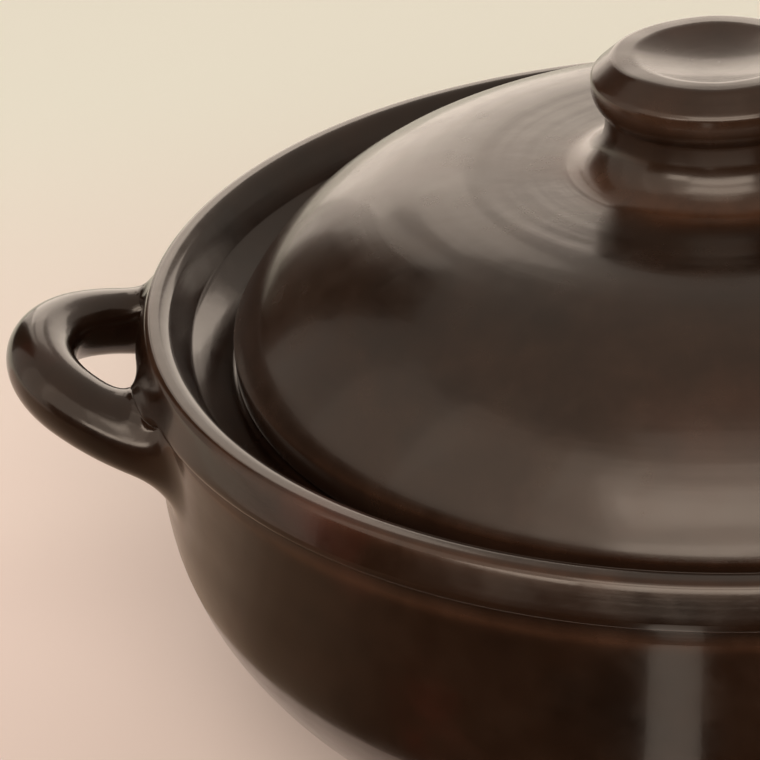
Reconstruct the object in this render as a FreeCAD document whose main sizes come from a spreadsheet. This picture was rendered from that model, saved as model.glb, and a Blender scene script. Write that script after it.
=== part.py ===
import FreeCAD, Part
import math
import os

import Sketcher

Vector = FreeCAD.Vector
Rotation = FreeCAD.Rotation
Rule = Sketcher.Constraint

START = 1
END = 2
CENTRE = 3
H_AXIS = -1
V_AXIS = -2

# Driving dimensions in millimetres and degrees, name, value and meaning.
SIZES = [
    ("rim_radius", 130.0, "outer radius of the rolled lip"),
    ("rim_height", 93.3, "height of the lip's centre above the table"),
    ("lip_round", 4.8, "radius of the lip's round section"),
    ("rim_overhang", 3.0, "how far the lip stands out past the bowl's side"),
    ("bowl_wall", 7.5, "thickness of the bowl's side"),
    ("bowl_floor", 7.5, "thickness of the bowl's floor"),
    ("foot_height", 4.0, "height of the foot ring below the base"),
    ("foot_reach", 5.0, "foot ring's outer edge past the centre of the turned corner"),
    ("foot_width", 10.0, "width of the foot ring's resting face"),
    ("foot_round", 1.5, "rounding of the foot ring"),
    ("cove_gap", 0.4, "bottom of the cove below the lip's round"),
    ("cove_depth", 1.0, "bottom of the cove inside the bowl's side"),
    ("cove_round", 1.2, "rounding at the bottom of the cove"),
    ("ridge_fall", 3.4, "shoulder ridge below the bottom of the cove"),
    ("ridge_round", 2.2, "rounding of the shoulder ridge"),
    ("gallery_inset", 11.2, "outer edge of the gallery inside the lip's outer radius"),
    ("gallery_drop", 6.6, "gallery below the lip's centre"),
    ("gallery_width", 9.6, "width of the gallery's sloping strip"),
    ("gallery_round", 4.0, "rounding of the gallery's outer corner"),
    ("seat_step", 4.0, "lid seat below the gallery"),
    ("shelf_thickness", 6.4, "thickness of the shelf at its inner edge"),
    ("shelf_level", 5.9, "width of the level underside of the shelf"),
    ("shelf_round", 2.8, "rounding of the shelf's inner edge"),
    ("shelf_blend", 16.0, "radius of the hollow under the shelf"),
    ("side_length", 0.3, "straight side between that hollow and the turned corner"),
    ("grip_root_depth", 11.3, "root of the handle inside the bowl's side"),
    ("grip_drop", 17.6, "root of the handle below the lip's centre"),
    ("grip_tilt", 20.6, "upward tilt of the handle in degrees"),
    ("grip_reach", 37.5, "length of the handle's loop along its tilt"),
    ("grip_half_width", 29.7, "half the spacing of the handle's arms"),
    ("grip_ease", 4.7, "how much the end bend is tighter than half that spacing"),
    ("grip_round", 7.8, "radius of the handle's round section"),
    ("grip_spread", 3.8, "how much the section's radius grows to the root"),
    ("lid_clearance", 1.4, "gap between the lid's edge and its recess"),
    ("lid_edge", 6.9, "height of the lid's upright edge"),
    ("lid_edge_round", 1.8, "rounding of the lid's edge"),
    ("lid_rise", 33.7, "height of the crown above the lid's edge"),
    ("shoulder_share", 0.59, "radius of the lid's shoulder as a share of the lid's radius"),
    ("lid_wall", 6.4, "thickness of the lid"),
    ("lid_ring", 6.6, "width of the lid's resting face"),
    ("neck_radius", 23.7, "radius of the knob's neck"),
    ("neck_flare", 9.5, "radius of the flare from the crown to the neck"),
    ("knob_overhang", 3.0, "how far the knob stands out past its neck"),
    ("knob_round", 7.0, "radius of the knob's rolled ring"),
    ("knob_rise", 18.4, "height of the rolled ring's centre above the crown"),
    ("knob_under", 1.6, "rounding under the knob"),
    ("dish_radius", 60.0, "radius of the dished top of the knob"),
]

# Dimensions that follow from the driving ones, name, formula and meaning.
FOLLOWING = [
    ("bowl_radius", "rim_radius - rim_overhang", "outer radius of the bowl's upright side"),
    ("inside_radius", "bowl_radius - bowl_wall", "inner radius of the bowl's side"),
    ("lip_across", "rim_radius - lip_round", "distance of the lip's centre from the axis"),
    ("lip_top", "rim_height + lip_round", "height of the lip's top"),
    ("cove_radius", "bowl_radius - cove_depth", "radius at the bottom of the cove"),
    ("cove_height", "rim_height - lip_round - cove_gap", "height of the bottom of the cove"),
    ("ridge_height", "cove_height - ridge_fall", "height of the shoulder ridge"),
    ("gallery_radius", "rim_radius - gallery_inset", "outer radius of the gallery"),
    ("gallery_height", "rim_height - gallery_drop", "height of the gallery's outer edge"),
    ("recess_radius", "gallery_radius - gallery_width", "inner radius of the gallery, where the seat starts"),
    ("seat_height", "gallery_height - seat_step", "height of the lid's seat"),
    ("under_height", "seat_height - shelf_thickness", "height of the shelf's underside"),
    ("shelf_radius", "inside_radius - shelf_blend - shelf_level", "radius of the shelf's inner edge"),
    ("hollow_height", "under_height - shelf_blend", "height of the lower end of the hollow"),
    ("corner_height", "hollow_height - side_length", "height of the turned corner's centre"),
    ("bowl_corner", "corner_height - foot_height", "outer radius of the turned corner"),
    ("corner_across", "bowl_radius - bowl_corner", "distance of that corner's centre from the axis"),
    ("inner_corner", "bowl_corner - bowl_floor", "inner radius of the turned corner"),
    ("floor_height", "foot_height + bowl_floor", "height of the floor inside"),
    ("foot_radius", "corner_across + foot_reach", "outer radius of the foot ring"),
    ("foot_inside", "foot_radius - foot_width", "inner radius of the foot ring"),
    ("grip_across", "bowl_radius - grip_root_depth", "distance of the handle's root from the axis"),
    ("grip_height", "rim_height - grip_drop", "height of the handle's root"),
    ("grip_bend", "grip_half_width - grip_ease", "bend radius at the end of the loop"),
    ("bend_across", "grip_reach - grip_bend", "distance of that bend's centre from the root"),
    ("grip_flare", "grip_round + grip_spread", "radius of the handle's section at its root"),
    ("lid_radius", "recess_radius - lid_clearance", "outer radius of the lid's edge"),
    ("edge_height", "seat_height + lid_edge", "height of the top of the lid's edge"),
    ("crown_height", "edge_height + lid_rise", "height of the lid's crown"),
    ("lid_shoulder", "lid_radius * shoulder_share", "radius of the lid's shoulder"),
    ("inner_shoulder", "lid_shoulder - lid_wall", "radius of the shoulder inside the lid"),
    ("ring_inside", "lid_radius - lid_ring", "inner radius of the lid's resting face"),
    ("knob_across", "neck_radius + knob_overhang - knob_round", "distance of the rolled ring's centre"),
    ("knob_height", "crown_height + knob_rise", "height of the rolled ring's centre"),
]


class Length:
    """A length that knows its value and the spreadsheet cell that gives it."""

    def __init__(self, value, text):
        self.value = value
        self.text = text


def make_sheet(doc):
    """Write the dimensions to a spreadsheet and return them by name."""
    sheet = doc.addObject("Spreadsheet::Sheet", "Sizes")
    rows = [(name, str(value), meaning) for name, value, meaning in SIZES]
    rows += [(name, "=" + formula, meaning) for name, formula, meaning in FOLLOWING]
    for row, (name, content, meaning) in enumerate(rows, start=1):
        sheet.set("A%d" % row, name)
        sheet.set("B%d" % row, content)
        sheet.set("C%d" % row, meaning)
        sheet.setAlias("B%d" % row, name)
    doc.recompute()
    return {name: Length(float(sheet.get(name)), "Sizes." + name) for name, _, _ in rows}


def origin_plane(body, role):
    """Return one of the body's own origin planes."""
    for feature in body.Origin.OriginFeatures:
        if feature.Role == role:
            return feature
    raise RuntimeError("no plane " + role)


def new_sketch(body, name, role):
    """Start a sketch on one of the body's origin planes."""
    sketch = body.newObject("Sketcher::SketchObject", name)
    sketch.AttachmentSupport = [(origin_plane(body, role), "")]
    sketch.MapMode = "FlatFace"
    return sketch


def line(sketch, start, end):
    """Add a straight edge and return its index."""
    return sketch.addGeometry(Part.LineSegment(Vector(*start, 0), Vector(*end, 0)), False)


def arc(sketch, centre, radius, first, last):
    """Add a circular arc between two angles in degrees and return its index."""
    circle = Part.Circle(Vector(*centre, 0), Vector(0, 0, 1), radius)
    return sketch.addGeometry(Part.ArcOfCircle(circle, math.radians(first), math.radians(last)), False)


def bind(sketch, kind, *places, length):
    """Add a dimension that follows the spreadsheet."""
    index = sketch.addConstraint(Rule(kind, *places, length.value))
    sketch.setExpression("Constraints[%d]" % index, length.text)


def place(sketch, edge, point, across=None, up=None):
    """Dimension a point from the sketch's origin."""
    if across is not None:
        bind(sketch, "DistanceX", H_AXIS, START, edge, point, length=across)
    if up is not None:
        bind(sketch, "DistanceY", H_AXIS, START, edge, point, length=up)


def join(sketch, *corners):
    """Join the ends of neighbouring edges, two places for each corner."""
    for first, first_end, second, second_end in corners:
        sketch.addConstraint(Rule("Coincident", first, first_end, second, second_end))


def level(sketch, *edges):
    """Keep edges horizontal."""
    for edge in edges:
        sketch.addConstraint(Rule("Horizontal", edge))


def upright(sketch, *edges):
    """Keep edges vertical."""
    for edge in edges:
        sketch.addConstraint(Rule("Vertical", edge))


def smooth(sketch, first, first_end, second, second_end):
    """Join two edges end to end with a common tangent."""
    sketch.addConstraint(Rule("Tangent", first, first_end, second, second_end))


def on_axis(sketch, edge, point, axis):
    """Keep a point on one of the sketch's axes."""
    sketch.addConstraint(Rule("PointOnObject", edge, point, axis))


def turn(body, kind, name, sketch):
    """Turn a closed sketch fully round the body's axis."""
    feature = body.newObject(kind, name)
    feature.Profile = sketch
    feature.ReferenceAxis = (sketch, ["V_Axis"])
    feature.Angle = 360.0
    body.Document.recompute()
    return feature


def ring_edges(feature, radius, height):
    """Name the circular edges that lie at a radius and a height."""
    names = []
    for number, edge in enumerate(feature.Shape.Edges, start=1):
        if edge.Degenerated or not isinstance(edge.Curve, Part.Circle):
            continue
        same_radius = abs(edge.Curve.Radius - radius) < 0.05
        same_height = abs(edge.Curve.Center.z - height) < 0.05
        if same_radius and same_height:
            names.append("Edge%d" % number)
    if not names:
        raise RuntimeError("no ring at radius %.1f height %.1f" % (radius, height))
    return names


def round_rings(body, name, radius, rings):
    """Round circular edges, given by their radii and heights."""
    base = body.Tip
    edges = []
    for ring_radius, ring_height in rings:
        edges += ring_edges(base, ring_radius.value, ring_height.value)
    feature = body.newObject("PartDesign::Fillet", name)
    feature.Base = (base, edges)
    feature.Radius = radius.value
    feature.setExpression("Radius", radius.text)
    body.Document.recompute()
    return feature


def draw_bowl_outline(body, size):
    """Half section of the full bowl: foot ring, turned side, ridge, cove and lip."""
    sketch = new_sketch(body, "bowl_outline", "XZ_Plane")
    base = size["foot_height"].value
    foot_inner = size["foot_inside"].value
    foot_outer = size["foot_radius"].value
    corner = (size["corner_across"].value, size["corner_height"].value)
    corner_round = size["bowl_corner"].value
    lip = (size["lip_across"].value, size["rim_height"].value)
    lip_round = size["lip_round"].value
    lip_top = size["lip_top"].value
    foot_angle = math.degrees(math.asin((foot_outer - corner[0]) / corner_round))
    foot_top = corner[1] - corner_round * math.cos(math.radians(foot_angle))
    ridge = (size["bowl_radius"].value, size["ridge_height"].value)
    cove = (size["cove_radius"].value, size["cove_height"].value)
    lip_start_angle = -78.0
    lip_start = (lip[0] + lip_round * math.cos(math.radians(lip_start_angle)),
                 lip[1] + lip_round * math.sin(math.radians(lip_start_angle)))

    under_base = line(sketch, (0.0, base), (foot_inner, base))
    foot_inside = line(sketch, (foot_inner, base), (foot_inner, 0.0))
    foot_face = line(sketch, (foot_inner, 0.0), (foot_outer, 0.0))
    foot_outside = line(sketch, (foot_outer, 0.0), (foot_outer, foot_top))
    turned_corner = arc(sketch, corner, corner_round, foot_angle - 90.0, 0.0)
    side = line(sketch, (ridge[0], corner[1]), ridge)
    ridge_top = line(sketch, ridge, cove)
    cove_top = line(sketch, cove, lip_start)
    lip_arc = arc(sketch, lip, lip_round, lip_start_angle, 90.0)
    mouth = line(sketch, (lip[0], lip_top), (0.0, lip_top))
    axis = line(sketch, (0.0, lip_top), (0.0, base))

    join(sketch,
         (under_base, END, foot_inside, START),
         (foot_inside, END, foot_face, START),
         (foot_face, END, foot_outside, START),
         (foot_outside, END, turned_corner, START),
         (side, END, ridge_top, START),
         (ridge_top, END, cove_top, START),
         (mouth, END, axis, START),
         (axis, END, under_base, START))
    smooth(sketch, turned_corner, END, side, START)
    smooth(sketch, cove_top, END, lip_arc, START)
    smooth(sketch, lip_arc, END, mouth, START)
    level(sketch, under_base, foot_face, mouth)
    upright(sketch, foot_inside, foot_outside, side)
    on_axis(sketch, under_base, START, V_AXIS)
    on_axis(sketch, axis, START, V_AXIS)
    on_axis(sketch, foot_face, START, H_AXIS)
    place(sketch, under_base, END, across=size["foot_inside"], up=size["foot_height"])
    place(sketch, foot_outside, START, across=size["foot_radius"])
    place(sketch, turned_corner, CENTRE, up=size["corner_height"])
    bind(sketch, "Radius", turned_corner, length=size["bowl_corner"])
    place(sketch, side, END, across=size["bowl_radius"], up=size["ridge_height"])
    place(sketch, cove_top, START, across=size["cove_radius"], up=size["cove_height"])
    place(sketch, lip_arc, CENTRE, across=size["lip_across"], up=size["rim_height"])
    bind(sketch, "Radius", lip_arc, length=size["lip_round"])
    return sketch


def draw_bowl_hollow(body, size):
    """Half section of the space inside: lip, sloping gallery, lid seat, shelf and bowl."""
    sketch = new_sketch(body, "bowl_hollow", "XZ_Plane")
    lip = (size["lip_across"].value, size["rim_height"].value)
    lip_round = size["lip_round"].value
    lip_top = size["lip_top"].value
    gallery = (size["gallery_radius"].value, size["gallery_height"].value)
    reach = math.hypot(gallery[0] - lip[0], gallery[1] - lip[1])
    slope = math.atan2(gallery[1] - lip[1], gallery[0] - lip[0])
    lip_end = math.degrees(slope - math.acos(lip_round / reach)) % 360.0
    lip_end_point = (lip[0] + lip_round * math.cos(math.radians(lip_end)),
                     lip[1] + lip_round * math.sin(math.radians(lip_end)))
    opening = (0.0, lip_top + lip_round)
    seat_start = (size["recess_radius"].value, size["seat_height"].value)
    shelf_top = (size["shelf_radius"].value, seat_start[1])
    shelf_low = (shelf_top[0], size["under_height"].value)
    blend = size["shelf_blend"].value
    inside = size["inside_radius"].value
    blend_centre = (inside - blend, shelf_low[1] - blend)
    corner_round = size["inner_corner"].value
    corner = (inside - corner_round, size["corner_height"].value)
    floor_end = (corner[0], corner[1] - corner_round)

    lip_arc = arc(sketch, lip, lip_round, 90.0, lip_end)
    inner_wall = line(sketch, lip_end_point, gallery)
    strip = line(sketch, gallery, seat_start)
    seat = line(sketch, seat_start, shelf_top)
    shelf_edge = line(sketch, shelf_top, shelf_low)
    under_shelf = line(sketch, shelf_low, (blend_centre[0], shelf_low[1]))
    shelf_hollow = arc(sketch, blend_centre, blend, 0.0, 90.0)
    side = line(sketch, (inside, blend_centre[1]), (inside, corner[1]))
    turned_corner = arc(sketch, corner, corner_round, -90.0, 0.0)
    floor = line(sketch, floor_end, (0.0, floor_end[1]))
    axis = line(sketch, (0.0, floor_end[1]), opening)
    above = line(sketch, opening, (lip[0], opening[1]))
    drop = line(sketch, (lip[0], opening[1]), (lip[0], lip_top))

    join(sketch,
         (inner_wall, END, strip, START),
         (strip, END, seat, START),
         (seat, END, shelf_edge, START),
         (shelf_edge, END, under_shelf, START),
         (floor, END, axis, START),
         (axis, END, above, START),
         (above, END, drop, START),
         (drop, END, lip_arc, START))
    smooth(sketch, lip_arc, END, inner_wall, START)
    smooth(sketch, under_shelf, END, shelf_hollow, END)
    smooth(sketch, shelf_hollow, START, side, START)
    smooth(sketch, side, END, turned_corner, END)
    smooth(sketch, turned_corner, START, floor, START)
    level(sketch, seat, under_shelf, floor, above)
    upright(sketch, shelf_edge, side, axis, drop)
    on_axis(sketch, axis, START, V_AXIS)
    place(sketch, lip_arc, CENTRE, across=size["lip_across"], up=size["rim_height"])
    bind(sketch, "Radius", lip_arc, length=size["lip_round"])
    place(sketch, drop, END, across=size["lip_across"])
    bind(sketch, "DistanceY", drop, END, drop, START, length=size["lip_round"])
    place(sketch, strip, START, across=size["gallery_radius"], up=size["gallery_height"])
    place(sketch, seat, START, across=size["recess_radius"], up=size["seat_height"])
    place(sketch, seat, END, across=size["shelf_radius"])
    place(sketch, under_shelf, START, up=size["under_height"])
    bind(sketch, "Radius", shelf_hollow, length=size["shelf_blend"])
    place(sketch, side, START, across=size["inside_radius"])
    bind(sketch, "Radius", turned_corner, length=size["inner_corner"])
    place(sketch, floor, END, up=size["floor_height"])
    return sketch


def tilt_sketch(sketch, size):
    """Lay a sketch in the handle's tilted plane, its origin at the root line."""
    across = size["grip_across"]
    up = size["grip_height"]
    tilt = size["grip_tilt"]
    sketch.AttachmentOffset = FreeCAD.Placement(
        Vector(across.value, 0, up.value), Rotation(Vector(0, 1, 0), -tilt.value))
    sketch.setExpression("AttachmentOffset.Base.x", across.text)
    sketch.setExpression("AttachmentOffset.Base.z", up.text)
    sketch.setExpression("AttachmentOffset.Rotation.Angle", "-" + tilt.text)


def draw_grip_line(body, size):
    """Centre line of one handle: two side arcs and an end arc, all tangent."""
    sketch = new_sketch(body, "grip_line", "XY_Plane")
    tilt_sketch(sketch, size)
    half = size["grip_half_width"].value
    bend = size["grip_bend"].value
    end_centre = size["bend_across"].value
    side_radius = (end_centre ** 2 + half ** 2 - bend ** 2) / (2.0 * (half - bend))
    side_centre = side_radius - half
    turn_angle = math.degrees(math.atan2(-side_centre, end_centre))

    near = arc(sketch, (0.0, side_centre), side_radius, -90.0, turn_angle)
    end = arc(sketch, (end_centre, 0.0), bend, turn_angle, -turn_angle)
    far = arc(sketch, (0.0, -side_centre), side_radius, -turn_angle, 90.0)
    smooth(sketch, near, END, end, START)
    smooth(sketch, end, END, far, START)
    on_axis(sketch, near, CENTRE, V_AXIS)
    on_axis(sketch, near, START, V_AXIS)
    on_axis(sketch, far, CENTRE, V_AXIS)
    on_axis(sketch, far, END, V_AXIS)
    on_axis(sketch, end, CENTRE, H_AXIS)
    place(sketch, end, CENTRE, across=size["bend_across"])
    bind(sketch, "Radius", end, length=size["grip_bend"])
    place(sketch, far, END, up=size["grip_half_width"])
    bind(sketch, "DistanceY", near, START, H_AXIS, START, length=size["grip_half_width"])
    body.Document.recompute()
    return sketch


def draw_grip_section(body, name, grip_line, edge, along, radius):
    """Round section across the handle's centre line."""
    sketch = body.newObject("Sketcher::SketchObject", name)
    sketch.AttachmentSupport = [(grip_line, edge)]
    sketch.MapMode = "NormalToEdge"
    sketch.MapPathParameter = along
    circle = sketch.addGeometry(Part.Circle(Vector(0, 0, 0), Vector(0, 0, 1), radius.value), False)
    sketch.addConstraint(Rule("Coincident", circle, CENTRE, H_AXIS, START))
    bind(sketch, "Radius", circle, length=radius)
    body.Document.recompute()
    return sketch


def add_handles(body, size):
    """Sweep one flared handle and mirror it to the other side."""
    grip_line = draw_grip_line(body, size)
    root = draw_grip_section(body, "grip_root", grip_line, "Edge1", 0.0, size["grip_flare"])
    sections = [
        draw_grip_section(body, "grip_near", grip_line, "Edge2", 0.0, size["grip_round"]),
        draw_grip_section(body, "grip_end", grip_line, "Edge2", 0.5, size["grip_round"]),
        draw_grip_section(body, "grip_far", grip_line, "Edge3", 0.0, size["grip_round"]),
        draw_grip_section(body, "grip_last", grip_line, "Edge3", 1.0, size["grip_flare"]),
    ]
    grip = body.newObject("PartDesign::AdditivePipe", "right_grip")
    grip.Profile = root
    grip.Spine = grip_line
    grip.Transformation = "Multisection"
    grip.Sections = sections
    body.Document.recompute()
    mirrored = body.newObject("PartDesign::Mirrored", "left_grip")
    mirrored.Originals = [grip]
    mirrored.MirrorPlane = (origin_plane(body, "YZ_Plane"), [""])
    body.Tip = mirrored
    body.Document.recompute()
    return mirrored


def make_pot(doc, size):
    """Bowl, lip, foot and both handles, fired as one piece."""
    body = doc.addObject("PartDesign::Body", "pot")
    body.Label = "pot"
    table = Length(0.0, "0")

    turn(body, "PartDesign::Revolution", "full_bowl", draw_bowl_outline(body, size))
    round_rings(body, "ridge_rounding", size["ridge_round"], [(size["bowl_radius"], size["ridge_height"])])
    round_rings(body, "cove_rounding", size["cove_round"], [(size["cove_radius"], size["cove_height"])])
    round_rings(body, "foot_rounding", size["foot_round"],
                [(size["foot_radius"], table), (size["foot_inside"], table)])
    full = add_handles(body, size)
    hollowed = turn(body, "PartDesign::Groove", "hollow", draw_bowl_hollow(body, size))
    if hollowed.Shape.Volume > 0.5 * full.Shape.Volume:
        raise RuntimeError("the bowl was not hollowed")
    round_rings(body, "gallery_rounding", size["gallery_round"],
                [(size["gallery_radius"], size["gallery_height"])])
    round_rings(body, "shelf_rounding", size["shelf_round"],
                [(size["shelf_radius"], size["seat_height"]), (size["shelf_radius"], size["under_height"])])
    return body


def draw_lid_section(body, size):
    """Half section of the lid: resting ring, domed shell, neck and dished knob."""
    sketch = new_sketch(body, "lid_section", "XZ_Plane")
    seat = size["seat_height"].value
    edge_top = size["edge_height"].value
    crown_top = size["crown_height"].value
    lid = size["lid_radius"].value
    ring = size["ring_inside"].value
    shoulder = size["lid_shoulder"].value
    inner = size["inner_shoulder"].value
    shoulder_z = crown_top - shoulder
    shoulder_r = lid - math.sqrt(shoulder ** 2 - (edge_top - shoulder_z) ** 2)
    edge_angle = math.degrees(math.atan2(edge_top - shoulder_z, lid - shoulder_r))
    inner_angle = math.degrees(math.acos((ring - shoulder_r) / inner))
    ring_top = shoulder_z + inner * math.sin(math.radians(inner_angle))
    under_crown_z = shoulder_z + inner
    neck = size["neck_radius"].value
    knob = (size["knob_across"].value, size["knob_height"].value)
    knob_round = size["knob_round"].value
    under_angle = -math.degrees(math.acos((neck - knob[0]) / knob_round))
    under_knob_z = knob[1] + knob_round * math.sin(math.radians(under_angle))
    dish = size["dish_radius"].value
    dish_angle = math.degrees(math.asin(knob[0] / (dish + knob_round)))
    dish_z = knob[1] + (dish + knob_round) * math.cos(math.radians(dish_angle))

    ring_face = line(sketch, (ring, seat), (lid, seat))
    edge = line(sketch, (lid, seat), (lid, edge_top))
    outer = arc(sketch, (shoulder_r, shoulder_z), shoulder, edge_angle, 90.0)
    crown = line(sketch, (shoulder_r, crown_top), (neck, crown_top))
    neck_side = line(sketch, (neck, crown_top), (neck, under_knob_z))
    ring_arc = arc(sketch, knob, knob_round, under_angle, 90.0 + dish_angle)
    dish_arc = arc(sketch, (0.0, dish_z), dish, -90.0, dish_angle - 90.0)
    axis = line(sketch, (0.0, dish_z - dish), (0.0, under_crown_z))
    under_crown = line(sketch, (0.0, under_crown_z), (shoulder_r, under_crown_z))
    inside = arc(sketch, (shoulder_r, shoulder_z), inner, inner_angle, 90.0)
    ring_inside = line(sketch, (ring, ring_top), (ring, seat))

    join(sketch,
         (ring_face, END, edge, START),
         (edge, END, outer, START),
         (crown, END, neck_side, START),
         (neck_side, END, ring_arc, START),
         (dish_arc, START, axis, START),
         (axis, END, under_crown, START),
         (inside, START, ring_inside, START),
         (ring_inside, END, ring_face, START),
         (outer, CENTRE, inside, CENTRE))
    smooth(sketch, outer, END, crown, START)
    smooth(sketch, ring_arc, END, dish_arc, END)
    smooth(sketch, under_crown, END, inside, END)
    level(sketch, ring_face, crown, under_crown)
    upright(sketch, edge, neck_side, ring_inside)
    on_axis(sketch, dish_arc, CENTRE, V_AXIS)
    on_axis(sketch, dish_arc, START, V_AXIS)
    on_axis(sketch, axis, END, V_AXIS)
    place(sketch, ring_face, START, across=size["ring_inside"], up=size["seat_height"])
    place(sketch, edge, END, across=size["lid_radius"], up=size["edge_height"])
    place(sketch, crown, END, across=size["neck_radius"], up=size["crown_height"])
    bind(sketch, "Radius", outer, length=size["lid_shoulder"])
    bind(sketch, "Radius", inside, length=size["inner_shoulder"])
    place(sketch, ring_arc, CENTRE, across=size["knob_across"], up=size["knob_height"])
    bind(sketch, "Radius", ring_arc, length=size["knob_round"])
    bind(sketch, "Radius", dish_arc, length=size["dish_radius"])
    return sketch


def make_lid(doc, size):
    """Domed lid with its knob, fired as one piece and resting on the seat."""
    body = doc.addObject("PartDesign::Body", "lid")
    body.Label = "lid"
    neck_inset = size["neck_radius"].value - size["knob_across"].value
    knob_drop = math.sqrt(size["knob_round"].value ** 2 - neck_inset ** 2)
    under_knob = Length(size["knob_height"].value - knob_drop, "")

    turn(body, "PartDesign::Revolution", "lid_shell", draw_lid_section(body, size))
    round_rings(body, "lid_edge_rounding", size["lid_edge_round"],
                [(size["lid_radius"], size["seat_height"]), (size["lid_radius"], size["edge_height"])])
    round_rings(body, "neck_flaring", size["neck_flare"], [(size["neck_radius"], size["crown_height"])])
    round_rings(body, "knob_underside", size["knob_under"], [(size["neck_radius"], under_knob)])
    return body


def check_document(doc, bodies):
    """Stop before anything is written if a feature or a piece has failed."""
    for item in doc.Objects:
        if "Invalid" in item.State or "Error" in item.State:
            raise RuntimeError("%s failed: %s" % (item.Label, item.State))
    for body in bodies:
        if body.Shape.isNull() or not body.Shape.isValid():
            raise RuntimeError("%s has no valid shape" % body.Label)
        if len(body.Shape.Solids) != 1:
            raise RuntimeError("%s is not one solid" % body.Label)


def main():
    """Build both pieces in the pot's own frame and write them."""
    doc = FreeCAD.newDocument("stew_pot")
    size = make_sheet(doc)
    bodies = [make_pot(doc, size), make_lid(doc, size)]
    doc.recompute()
    check_document(doc, bodies)
    os.makedirs("parts", exist_ok=True)
    for body in bodies:
        body.Placement = FreeCAD.Placement()
        body.Shape.exportStep("parts/%s.step" % body.Label)


main()
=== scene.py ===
import math

import bpy
import numpy as np
from mathutils import Matrix, Vector

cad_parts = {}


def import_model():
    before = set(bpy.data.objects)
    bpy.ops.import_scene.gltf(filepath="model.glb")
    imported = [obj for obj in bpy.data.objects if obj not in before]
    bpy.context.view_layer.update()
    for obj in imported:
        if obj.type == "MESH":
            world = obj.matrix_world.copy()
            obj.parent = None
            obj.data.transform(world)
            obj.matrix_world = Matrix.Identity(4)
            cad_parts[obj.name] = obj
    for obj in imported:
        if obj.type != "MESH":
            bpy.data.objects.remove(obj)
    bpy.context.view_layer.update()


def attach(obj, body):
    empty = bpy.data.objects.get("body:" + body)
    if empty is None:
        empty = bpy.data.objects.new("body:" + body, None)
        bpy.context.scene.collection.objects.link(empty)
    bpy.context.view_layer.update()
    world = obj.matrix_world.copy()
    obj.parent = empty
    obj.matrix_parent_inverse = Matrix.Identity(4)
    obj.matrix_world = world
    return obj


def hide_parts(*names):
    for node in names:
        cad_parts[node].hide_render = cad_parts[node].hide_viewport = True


MM = 0.001

# Sizes of the pot and the lid, in millimetres. A pair is a radius and a height.
LIP_INNER = (124.0, 94.6)
LIP_INNER_ROUND = 3.5
LIP_CORNER = (125.3, 96.1)
LIP_EDGE = (127.6, 90.6)
LIP_CORNER_ROUND = 2.0
BOWL_RADIUS = 127.0
BOWL_CORNER = 56.0
BOWL_WALL = 7.5
FOOT_HEIGHT = 4.0
FOOT_RADIUS = 76.0
FOOT_INNER = 66.0
RIDGE_HEIGHT = 84.7
COVE_RADIUS = 126.0
COVE_HEIGHT = 88.1
GALLERY_RADIUS = 117.2
GALLERY_HEIGHT = 89.2
GALLERY_ROUND = 3.0
SEAT_HEIGHT = 82.7
RECESS_RADIUS = 108.6
SHELF_RADIUS = 97.6
SHELF_UNDER = 76.3
SHELF_BLEND = 16.0
LID_RADIUS = 107.8
LID_RING = 6.6
LID_EDGE_HEIGHT = 89.6
LID_CROWN = 123.3
LID_SHOULDER = 63.6
LID_WALL = 6.4
NECK_RADIUS = 23.7
NECK_FLARE = 9.5
KNOB_RADIUS = 26.7
KNOB_ROUND = 7.0
KNOB_HEIGHT = 141.7
KNOB_TOP = (20.8, 145.9)
KNOB_EDGE = (24.4, 142.8)
KNOB_CORNER = 2.3
KNOB_RING = 18.0
RING_ROUND = 6.0
DISH_RADIUS = 60.0

# Roundings of edges and corners, in millimetres.
BASE_ROUND = 1.2
FOOT_ROUND = 1.5
RIDGE_ROUND = 2.2
COVE_ROUND = 1.0
RECESS_ROUND = 1.6
SHELF_ROUND = 2.8
RING_INNER_ROUND = 0.6
LID_EDGE_ROUND = 1.8
NECK_ROUND = 1.6

# How far straight stretches stop short of a rounded corner, in millimetres, and how far arcs do, in
# degrees.
CORNER_GAP = 2.0
RIDGE_GAP = 1.6
SHELF_GAP = 3.0
FOOT_GAP = 1.5
SHOULDER_GAP = 2.0
NECK_GAP = 15.0

# Columns round the axis, in degrees apart: close together near the handles, and wide elsewhere.
GRIP_AZIMUTHS = (0.0, 180.0)
GRIP_SPREAD = 24.0
COLUMN_FINE = 0.55
COLUMN_WIDE = 1.45
LID_COLUMN = 1.0

# How far the uneven surfaces are set back, in millimetres, so that no wave stands out of its size.
BOWL_SET_BACK = 0.10
DOME_SET_BACK = 0.16
KNOB_SET_BACK = 0.08

# Handle: the loop's root, tilt and bends, in millimetres and degrees.
GRIP_START = (115.7, 75.7)
GRIP_TILT = 20.6
GRIP_REACH = 37.5
GRIP_HALF = 29.7
GRIP_BEND = 25.0
GRIP_ROUND = 7.7
GRIP_BLEND = 8.0
GRIP_COLUMNS = 56
GRIP_STATIONS = 84
GRIP_MEASURE_STATIONS = 160

# Where the handles' roots are worked into the bowl, in millimetres, and in how many rounds.
ROOT_RADIUS = 120.5
ROOT_HALF_WIDTH = 60.0
ROOT_HEIGHT = 45.0
ROOT_DEPTH = 1.5
ROOT_SETTLE_ROUNDS = 4
ROOT_SMOOTH_ROUNDS = 14

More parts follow.
